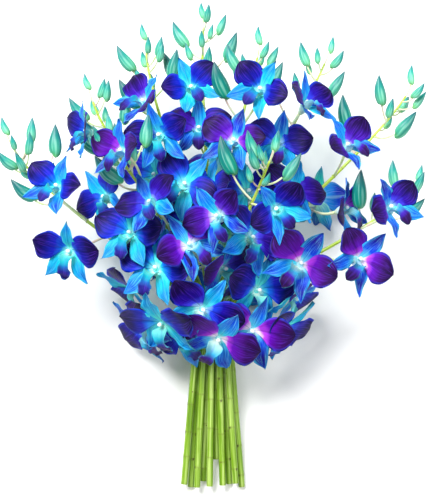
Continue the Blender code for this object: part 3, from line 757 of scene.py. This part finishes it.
def bud_material(looks):
    """Closed bud: satin teal sepals pressed together, dark at the tip and lime at the foot, streaked lengthwise."""
    made, tree, shader = new_material("bud_skin_teal", Roughness=0.4, IOR=1.43)
    uv = uv_of(tree)
    along = parts_of(tree, uv)[1]
    full = (
        (0.0, "#84C044"), (0.10, "#4CB464"), (0.28, "#06987C"), (0.54, "#027870"), (0.78, "#024C54"), (1.0, "#021A24"),
    )
    small = (
        (0.0, "#8CCC48"), (0.14, "#8CD47C"), (0.36, "#7CD8AC"), (0.58, "#20AC9C"), (0.80, "#04747C"), (1.0, "#023440"),
    )
    colour = blended(tree, attribute(tree, "tone"), coloured(tree, along, full), coloured(tree, along, small))
    colour = blended(tree, attribute(tree, "mark"), colour, tuple(looks.bud_seam))
    streaks = noise(tree, moved_by(tree, stretched_uv(tree, uv, (16.0, 2.0, 1.0)), (3.7, 1.3, 0.4)), 1.0, 2.0)
    colour = blended(tree, ranged(tree, streaks, 0.5, 0.75, 0.0, 0.5), colour, linear("#B8F4DC"))
    colour = blended(tree, ranged(tree, streaks, 0.3, 0.48, 0.4, 0.0), colour, linear("#06606A"))
    skin_of(tree, shader, colour, streaks, 0.25, 0.0005)
    return made


def pith_material():
    """Freshly cut end of a cane: wet, pale green flesh with darker strands in it."""
    made, tree, shader = new_material("cut_end_pith", Roughness=0.5)
    place = place_of(tree)
    strands = cells(tree, place, 1400.0)
    colour = coloured(tree, strands, ((0.1, "#7C9440"), (0.45, "#D6E2A0")))
    tree.links.new(colour, shader.inputs["Base Color"])
    return made


def band_material(looks):
    """Rubber band: matt, slightly dusty natural rubber."""
    made, tree, shader = new_material("rubber_band_matt", Roughness=0.68, IOR=1.52)
    place = place_of(tree)
    dust = noise(tree, place, 600.0, 3.0)
    colour = blended(tree, ranged(tree, dust, 0.45, 0.75, 0.0, 0.5), tuple(looks.band), linear("#A9C27C"))
    skin_of(tree, shader, colour, dust, 0.2, 0.0002)
    return made


# Stems, stalks and buds


def stem_stations(path, rng):
    """The stem's line from its cut end to its tip, as (middle, radius, scar, where a scar's brown eye is)."""
    straight = (path.tie - path.cut).length
    bends = [path.above(i / STEM_STEPS) for i in range(STEM_STEPS + 1)]
    reach = [0.0]
    for a, b in zip(bends, bends[1:]):
        reach.append(reach[-1] + (b - a).length)
    total = straight + reach[-1]
    eyes, at = {}, rng.uniform(0.012, 0.034)
    while at < total - 0.01:
        eyes[at] = rng.random()
        at += rng.uniform(0.022, 0.046)
    places = [total * i / STEM_RINGS for i in range(STEM_RINGS + 1)]
    places = [p for p in places if min(abs(p - joint) for joint in eyes) > 0.003]
    places += [joint + step for joint in eyes for step in (-0.0026, -0.0012, -0.0004, 0.0004, 0.0012, 0.0026)]
    out = []
    for place in sorted(places):
        if place < straight:
            share = place / straight
            middle, radius = path.cut.lerp(path.tie, share), mix(STEM_RADIUS_CUT, STEM_RADIUS_TIE, share)
        else:
            i = max(k for k in range(STEM_STEPS) if reach[k] <= place - straight)
            share = (i + (place - straight - reach[i]) / (reach[i + 1] - reach[i])) / STEM_STEPS
            middle, radius = path.above(share), mix(STEM_RADIUS_TIE, STEM_RADIUS_TIP, share**0.8)
        joint = min(eyes, key=lambda at: abs(at - place))
        away = place - joint
        swell = 0.07 * math.exp(-((away / 0.0026) ** 2))
        scar = 0.38 if abs(away) < 0.0005 else 0.1 if abs(away) < 0.0014 else 0.0
        out.append((middle, radius * (0.965 + swell), scar, eyes[joint] if -0.0014 < away < 0.0005 else None))
    return out


def draw_stem(bm, path, rng):
    stations = stem_stations(path, rng)
    rings = laid(rings_along([station[0] for station in stations], [station[1] for station in stations]))
    # the cut end has a small rim, then the flat cut
    centre, side, other, radius = rings[0]
    rings = [(centre, side, other, radius * 0.88), *rings]
    rings = closed(rings)
    last = len(rings) - 1
    scars = [(0.0, None), (0.4, None), (0.3, None)] + [station[2:] for station in stations[1:]] + [(0.3, None)]
    ribs = rng.uniform(0, math.tau)

    def mark(u, v):
        scar, eye = scars[min(round(v * last), len(scars) - 1)]
        seen = eye is not None and abs((u - eye + 0.5) % 1 - 0.5) < 0.036
        return 1.0 if seen else scar

    def shape(turn, v):
        return 1 + 0.012 * math.cos(7 * turn + ribs) + 0.01 * math.cos(3 * turn - ribs + 40 * v)

    tones = bm.verts.layers.float["tone"]
    before = set(bm.verts)
    skin(bm, rings, 14, finish=lambda u, v: 3 if v < 1.9 / last else 0, mark=mark, shape=shape)
    back = LAY.inverted()
    for v in bm.verts:
        if v not in before:
            v.co = settled(v.co)
            height = (back @ v.co).y
            v[tones] = min(1.0, max(0.0, (height - 0.14) / 0.16))


def draw_bud(bm, spray, path, index):
    """A bud on its own arching stalk. The first ones are in the places of the solid's, and young ones stand between."""
    rng = random.Random(100 * spray.seed + index)
    young = index - spray.buds
    if young < 0:
        share = index / max(spray.buds - 1, 1)
        t = mix(FIRST_BUD, 1.0, share**0.85)
    else:
        share = rng.uniform(0.6, 1.0)
        t = mix(0.78, 0.99, (young + rng.random()) / SMALL_BUDS)
    start, ahead = path.above(t), path.heading(t)
    length = mix(*BUD_LENGTHS, share) * rng.uniform(0.92, 1.08) * (1.0 if young < 0 else 0.82)
    side = ahead.cross(FRONT).normalized() * (1 if index % 2 else -1)
    if young >= 0:
        side = Matrix.Rotation(rng.uniform(0, math.tau), 3, ahead) @ side
    out = (side + FRONT * rng.uniform(-0.25, 0.75)).normalized()
    last = index == spray.buds - 1
    axis = (UP * 0.75 + out * (0.15 if last else 0.55) + ahead * 0.35).normalized()
    reach = length * rng.uniform(0.75, 1.0)
    leave = ahead if last else (out * 0.9 + ahead * 0.35).normalized()
    foot = start + leave * reach * 0.75 + axis * reach * 0.45
    bend = start + leave * reach * 0.6
    # the skin stands a little proud of the solid, which is a bud pressed to its planes
    long, wide = length * mix(1.22, 1.55, share), length * BUD_WIDTH / 2 * mix(1.32, 1.55, share)
    stalk_radius = mix(0.0011, 0.0008, share)
    chin = (side * (-1 if index % 2 else 1) * -1 - axis * (side.dot(axis))).normalized() * wide * 0.45
    shares = [i / BUD_STALK_RINGS for i in range(BUD_STALK_RINGS + 1)]
    bends = start, mix(start, bend, 0.8), mix(bend, foot, 0.35), foot + axis * length * 0.03
    curve = [bezier(*bends, along) for along in shares]
    radii = [stalk_radius * mix(1.05, 0.9, along) for along in shares]
    skin(bm, closed(laid(rings_along(curve, radii))), 8, 1, tone=0.15)
    centres, sizes = [], []
    bow = out - axis * out.dot(axis)
    for along, width, low in (
        (0.0, 0.30, 0.5), (0.03, 0.50, 0.75), (0.08, 0.72, 0.85), (0.15, 0.88, 0.72), (0.24, 0.98, 0.5),
        (0.36, 1.0, 0.26), (0.48, 0.93, 0.12), (0.6, 0.79, 0.03), (0.72, 0.60, 0.0), (0.82, 0.42, 0.0),
        (0.9, 0.26, 0.0), (0.96, 0.12, 0.0), (0.99, 0.05, 0.0),
    ):
        lean = bow * (0.05 * long * math.sin(math.pi * along))
        centres.append(foot + axis * long * along + chin * low + lean)
        sizes.append(wide * width)
    rings = laid(rings_along(centres, sizes))
    start_turn = rng.uniform(0, math.tau)

    def groove(turn):
        return max(0.0, math.cos(3 * (turn - start_turn))) ** 8

    skin(
        bm, closed(rings), 18, 2, tone=share,
        mark=lambda u, v: 0.55 * groove(math.tau * u) * math.sin(math.pi * min(1, v * 1.1)) ** 0.5,
        shape=lambda turn, v: (0.97 - 0.14 * math.sin(turn) ** 2) * (1 - 0.07 * groove(turn)),
    )
    return start, leave


def stalk_curve(frame, path, points):
    """The line of a flower's stalk, from its stem to its seat, fitted to the rings of its solid."""
    seat = frame @ Vector((0, -SEAT_DROP, -SEAT_BACK))
    run = (frame.to_3x3() @ Vector((0, SEAT_DROP, SEAT_BACK))).normalized()
    end = seat - run * SEAT_GAP
    co, links = points
    ring = sorted(range(len(co)), key=lambda k: (co[k] - end).length)[:4]
    known = set(ring)
    middles = []
    for _ in range(2):
        following = {n for k in ring for n in links[k]} - known
        if len(following) != 4:
            break
        ring = list(following)
        known |= following
        middles.append(sum((co[k] for k in ring), Vector()) / 4)
    back = LAY.inverted()
    best = None
    for i in range(161):
        t = 0.02 + 0.76 * i / 160
        start = LAY @ path.above(t)
        reach = (end - start).length
        c = end - run * reach * 0.40
        if middles:
            b = (middles[0] * 27 - c * 12 - end * 8 - start) / 6
        else:
            b = start + (end - start) * 0.3
        off = abs((b - start).length - reach * 0.35)
        if len(middles) == 2:
            off += (bezier(start, b, c, end, 1 / 3) - middles[1]).length * 3
        if best is None or off < best[0]:
            best = off, start, b, c, end
    return best


def draw_stalk(bm, curve, tone):
    _, start, b, c, end = curve
    shares = [i / STALK_RINGS for i in range(STALK_RINGS + 1)]
    centres = [bezier(start, b, c, end, share) for share in shares]
    # it flares a little at the stem and more under the flower
    radii = [PEDICEL_RADIUS * (0.92 + 0.22 * math.exp(-((share / 0.12) ** 2)) + 0.36 * share**6) for share in shares]
    before = set(bm.verts)
    skin(bm, closed(rings_along(centres, radii)), 10, 1, tone)
    for v in bm.verts:
        if v not in before:
            v.co = settled(v.co)


def draw_bract(bm, at, towards, along, size):
    """The small papery scale on the stem under a stalk."""
    across = towards.cross(along).normalized()

    def place(u, v):
        c = 1 - 2 * u
        half = size * 0.5 * (1 - v) ** 0.7
        point = at - along * size * 0.35 + (along * 0.9 + towards * 0.5) * size * v + across * half * c
        return LAY @ (point - towards * half * 0.5 * c * c + towards * size * 0.25)

    verts = sheet(bm, 6, 5, place, 0, 1.0, mark=lambda u, v: 0.35 + 0.5 * v)
    bmesh.ops.remove_doubles(bm, verts=verts, dist=WELD)
    faces = list(dict.fromkeys(f for v in verts if v.is_valid for f in v.link_faces))
    bmesh.ops.solidify(bm, geom=faces, thickness=0.00022)


def joined_points(node):
    """A solid's corners, and which of them are joined by an edge."""
    bm = bmesh.new()
    bm.from_mesh(NODES[node].data)
    bmesh.ops.remove_doubles(bm, verts=bm.verts, dist=WELD)
    bm.verts.index_update()
    co = [v.co.copy() for v in bm.verts]
    links = [[e.other_vert(v).index for e in v.link_edges] for v in bm.verts]
    bm.free()
    return co, links


# Settings and operators


class FlowerLooks(bpy.types.PropertyGroup):
    thickness: FloatProperty(
        name="Petal thickness", description="Thickness of a petal at its midrib",
        default=0.0006, min=0.0002, unit="LENGTH",
    )
    ripple: FloatProperty(
        name="Ripple", description="How far the edges of the petals wave", default=0.0015, min=0.0, unit="LENGTH"
    )


class StemLooks(bpy.types.PropertyGroup):
    stem_green: FloatVectorProperty(
        name="Stem green", description="Colour of the stems below the tie",
        default=linear("#78A01E"), size=4, subtype="COLOR",
    )
    tip_green: FloatVectorProperty(
        name="Upper green", description="Colour of the stems among the flowers",
        default=linear("#B4CC3A"), size=4, subtype="COLOR",
    )
    bud_seam: FloatVectorProperty(
        name="Bud seam", description="Colour of the lines where a bud's sepals meet",
        default=linear("#0B6E70"), size=4, subtype="COLOR",
    )
    band: FloatVectorProperty(
        name="Band", description="Colour of the rubber band", default=linear("#5F8A3C"), size=4, subtype="COLOR"
    )
    groove: FloatProperty(
        name="Band groove", description="Depth of the grooves between the band's turns", default=0.0004, unit="LENGTH"
    )


class StageLooks(bpy.types.PropertyGroup):
    floor: FloatVectorProperty(
        name="Floor", description="Colour of the floor", default=linear("#F7F7F7"), size=4, subtype="COLOR"
    )
    key: FloatProperty(
        name="Key light", description="Power of the large light above the bunch", default=112.0, unit="POWER"
    )
    fill: FloatProperty(
        name="Fill light", description="Power of the light from the other side", default=20.0, unit="POWER"
    )
    sky: FloatProperty(name="Surround", description="Strength of the even light from all round", default=0.26)


class ORCHID_OT_stems(bpy.types.Operator):
    """Models each spray's stem with its flower stalks, bracts and buds"""

    bl_idname = "orchid.stems"
    bl_label = "Stems, stalks and buds"

    def execute(self, context):
        looks = context.scene.orchid_stems
        finishes = [stem_material(looks), stalk_material(), bud_material(looks), pith_material()]
        for spray in SPRAYS:
            path = PATHS[spray.name]
            rng = random.Random(700 + spray.seed)
            bm = new_mesh()
            draw_stem(bm, path, rng)
            for index in range(spray.buds + SMALL_BUDS):
                start, leave = draw_bud(bm, spray, path, index)
                if index != spray.buds - 1:
                    ahead = path.heading(0.8)
                    draw_bract(bm, start, leave, ahead, mix(0.0042, 0.0026, min(1.0, index / spray.buds)))
            points = joined_points(spray.name + "_stem")
            back = LAY.inverted()
            for name, (frame, share, _) in FLOWERS.items():
                if name.startswith(spray.name):
                    curve = stalk_curve(frame, path, points)
                    draw_stalk(bm, curve, tone=max(0.0, 0.9 - 1.3 * share) * rng.uniform(0.4, 1.0))
                    start = back @ curve[1]
                    towards = (back.to_3x3() @ (curve[2] - curve[1])).normalized()
                    nearest = min((i / 100 for i in range(101)), key=lambda t: (path.above(t) - start).length)
                    draw_bract(bm, start, towards, path.heading(nearest), 0.0048)
            add_piece(bm, spray.name + "_stem_skin", finishes, "stems", spray.name + "_stem")
        return {"FINISHED"}


class ORCHID_OT_blooms(bpy.types.Operator):
    """Models each open flower in the place of its solid"""

    bl_idname = "orchid.blooms"
    bl_label = "Open flowers"

    def execute(self, context):
        looks = context.scene.orchid_flowers
        finishes = blade_materials() + wax_materials()
        sides = {"petal": (0, 1, 14, 18), "sepal": (2, 3, 10, 16), "lip": (4, 5, 16, 20)}
        for name, (frame, share, away) in FLOWERS.items():
            if away > FURTHEST_OFF:
                raise RuntimeError(f"{name} isn't where its solid is: {away * 1000:.2f} mm off")
            rng = random.Random(name)
            hub = frame.translation
            # soft petals reach a little beyond their stiff solids, most of all low in the head
            fuller = 1.07 + 0.07 * min(1.0, max(0.0, (0.02 - hub.y) / 0.1))
            size, fold = mix(*FLOWER_SIZES, share) * fuller, mix(*FLOWER_FOLDS, share**2)
            tone = min(1.0, max(0.0, 0.55 + 1.2 * hub.x - 1.2 * hub.y + rng.uniform(-0.5, 0.5)))
            bm = new_mesh()
            for blade in BLADES:
                line = BladeLine(blade, size, fold, rng, looks.ripple)
                front, behind, columns, rows = sides[blade.kind]
                spread = 0.2 if blade.kind == "petal" else 0.45
                own = min(1.0, max(0.0, tone + rng.uniform(-spread, spread)))
                draw_blade(bm, line, frame, looks.thickness, front, behind, own, columns, rows)
            draw_throat(bm, frame, 7, tone)
            draw_column(bm, frame, 6, tone)
            add_piece(bm, name + "_petals", finishes, "petals", name)
        return {"FINISHED"}


class ORCHID_OT_tie(bpy.types.Operator):
    """Models the rubber band wound three times round the stems"""

    bl_idname = "orchid.tie"
    bl_label = "Tie"

    def execute(self, context):
        looks = context.scene.orchid_stems
        section = []
        for i in range(25):
            share = i / 24
            grooved = looks.groove * abs(math.cos(3 * math.pi * share)) ** 4
            section.append((share, TIE_GAP + TIE_THICKNESS - 0.00012 - grooved))
        section += [(1 - i / 6, TIE_GAP) for i in range(7)]
        section.append(section[0])
        count = 60
        rows = [tie_line(1 - TIE_WIDTH * (1 - share) / TIE_HEIGHT, out_by, count) for share, out_by in section]
        bm = new_mesh()

        def place(u, v):
            return LAY @ rows[round(v * (len(rows) - 1))][round(u * count) % count]

        verts = sheet(bm, count, len(rows) - 1, place, turned=True)
        bmesh.ops.remove_doubles(bm, verts=verts, dist=1e-6)
        bmesh.ops.recalc_face_normals(bm, faces=bm.faces)
        add_piece(bm, "tie_band", [band_material(looks)], "band", "tie")
        return {"FINISHED"}


class ORCHID_OT_stage(bpy.types.Operator):
    """Adds the pale floor, soft lights and the camera over the bunch"""

    bl_idname = "orchid.stage"
    bl_label = "Stage"

    def execute(self, context):
        looks = context.scene.orchid_stage
        scene = context.scene
        made, tree, shader = new_material("floor_paper_white", Roughness=0.9)
        shader.inputs["Base Color"].default_value = tuple(looks.floor)
        bm = bmesh.new()
        bmesh.ops.create_grid(bm, x_segments=1, y_segments=1, size=4.0)
        mesh = bpy.data.meshes.new("floor")
        bm.to_mesh(mesh)
        bm.free()
        mesh.materials.append(made)
        floor = bpy.data.objects.new("floor", mesh)
        scene.collection.objects.link(floor)

        world = bpy.data.worlds.new("surround")
        world.use_nodes = True
        world.node_tree.nodes["Background"].inputs["Color"].default_value = (1, 1, 1, 1)
        world.node_tree.nodes["Background"].inputs["Strength"].default_value = looks.sky
        scene.world = world
        scene.view_settings.view_transform = "Standard"

        for name, power, size, place in (
            ("key", looks.key, 1.3, Vector((-0.8, 1.0, 2.2))),
            ("fill", looks.fill, 1.6, Vector((1.2, -0.5, 1.6))),
        ):
            light = bpy.data.lights.new(name, "AREA")
            light.energy, light.size = power, size
            lamp = bpy.data.objects.new(name, light)
            lamp.location = place
            lamp.rotation_euler = (Vector((0, 0.02, 0.05)) - place).to_track_quat("-Z", "Y").to_euler()
            scene.collection.objects.link(lamp)

        camera = bpy.data.objects.new("camera", bpy.data.cameras.new("camera"))
        camera.data.lens = 100
        lean = Matrix.Rotation(LEAN, 4, "X")
        target = lean @ Vector((0.006, 0.241, 0.02)) - Vector((FOOTPRINT_CENTRE.x, FOOTPRINT_CENTRE.y, 0))
        camera.matrix_world = Matrix.Translation(target + lean.to_3x3() @ Vector((0, 0, 1.389))) @ lean
        scene.collection.objects.link(camera)
        scene.camera = camera
        return {"FINISHED"}


class ORCHID_PT_panel(bpy.types.Panel):
    bl_idname = "ORCHID_PT_panel"
    bl_label = "Dendrobium bunch"
    bl_space_type = "VIEW_3D"
    bl_region_type = "UI"
    bl_category = "Orchids"

    def draw(self, context):
        for group in (context.scene.orchid_flowers, context.scene.orchid_stems, context.scene.orchid_stage):
            box = self.layout.box()
            for key in group.__annotations__:
                box.prop(group, key)
        for operator in OPERATORS:
            self.layout.operator(operator.bl_idname)


OPERATORS = (ORCHID_OT_stems, ORCHID_OT_blooms, ORCHID_OT_tie, ORCHID_OT_stage)
CLASSES = (FlowerLooks, StemLooks, StageLooks, *OPERATORS, ORCHID_PT_panel)


def register():
    for made in CLASSES:
        bpy.utils.register_class(made)
    bpy.types.Scene.orchid_flowers = PointerProperty(type=FlowerLooks)
    bpy.types.Scene.orchid_stems = PointerProperty(type=StemLooks)
    bpy.types.Scene.orchid_stage = PointerProperty(type=StageLooks)


def unregister():
    del bpy.types.Scene.orchid_flowers
    del bpy.types.Scene.orchid_stems
    del bpy.types.Scene.orchid_stage
    for made in reversed(CLASSES):
        bpy.utils.unregister_class(made)


def main():
    register()
    bpy.ops.orchid.stems()
    bpy.ops.orchid.blooms()
    bpy.ops.orchid.tie()
    bpy.ops.orchid.stage()


if __name__ == "__main__":
    main()
